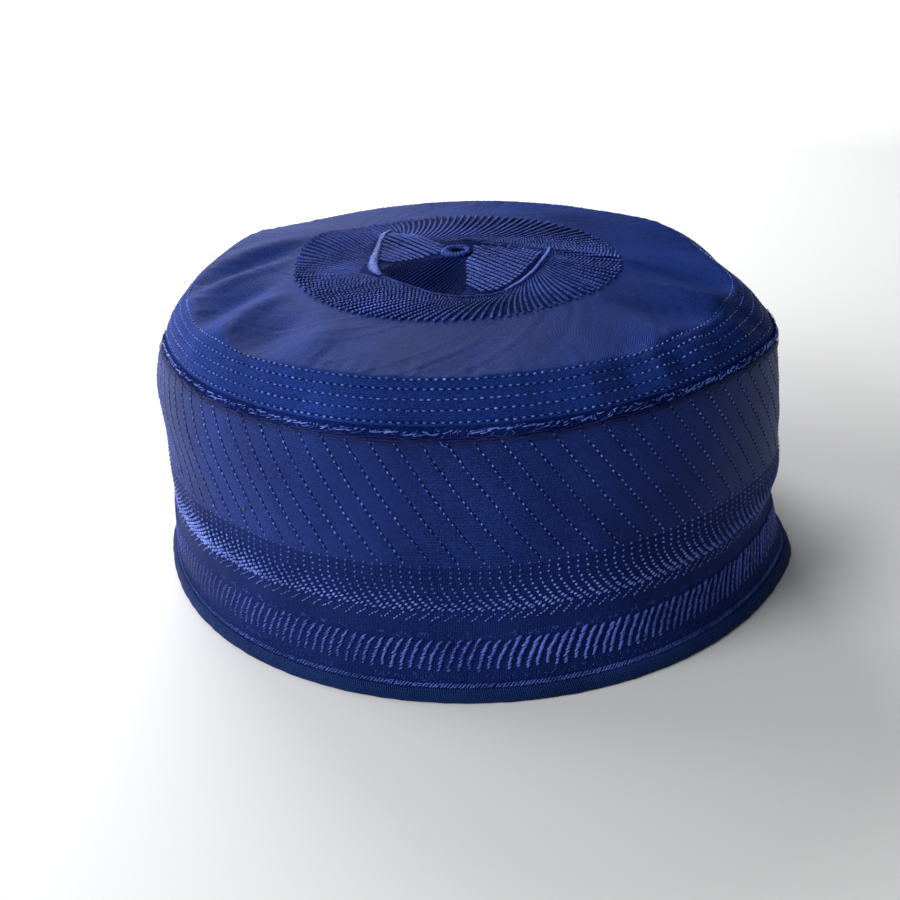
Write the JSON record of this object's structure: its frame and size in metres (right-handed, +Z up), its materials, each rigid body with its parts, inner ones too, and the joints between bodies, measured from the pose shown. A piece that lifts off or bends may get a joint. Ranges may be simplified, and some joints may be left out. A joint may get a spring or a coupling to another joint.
{
  "type": "prayer cap",
  "caption": "Round quilted satin cap with a low domed crown, steep sides, embroidered bands, a crown medallion with an eyelet, and a bound brim.",
  "frame": {"origin": "on the surface that the cap rests on, under the middle of its outline", "axes": "+Z up from brim to crown, -Y towards the cap's front in the picture, +X to its right"},
  "size_m": [0.1878, 0.1948, 0.0878],
  "materials": {
    "satin_cloth": "navy cotton satin, soft sheen",
    "embroidery_thread": "glossy blue viscose embroidery thread",
    "seam_thread": "overlocked thread",
    "binding_tape": "matt twill tape"
  },
  "bodies": {
    "root": {"side_wall": "satin_cloth", "crown_panel": "satin_cloth", "crown_seam_edging": "seam_thread", "crown_medallion": "embroidery_thread", "crown_eyelet": "embroidery_thread", "upper_embroidered_band": "embroidery_thread", "lower_embroidered_band": "embroidery_thread", "brim_binding": "binding_tape"}
  },
  "joints": []
}
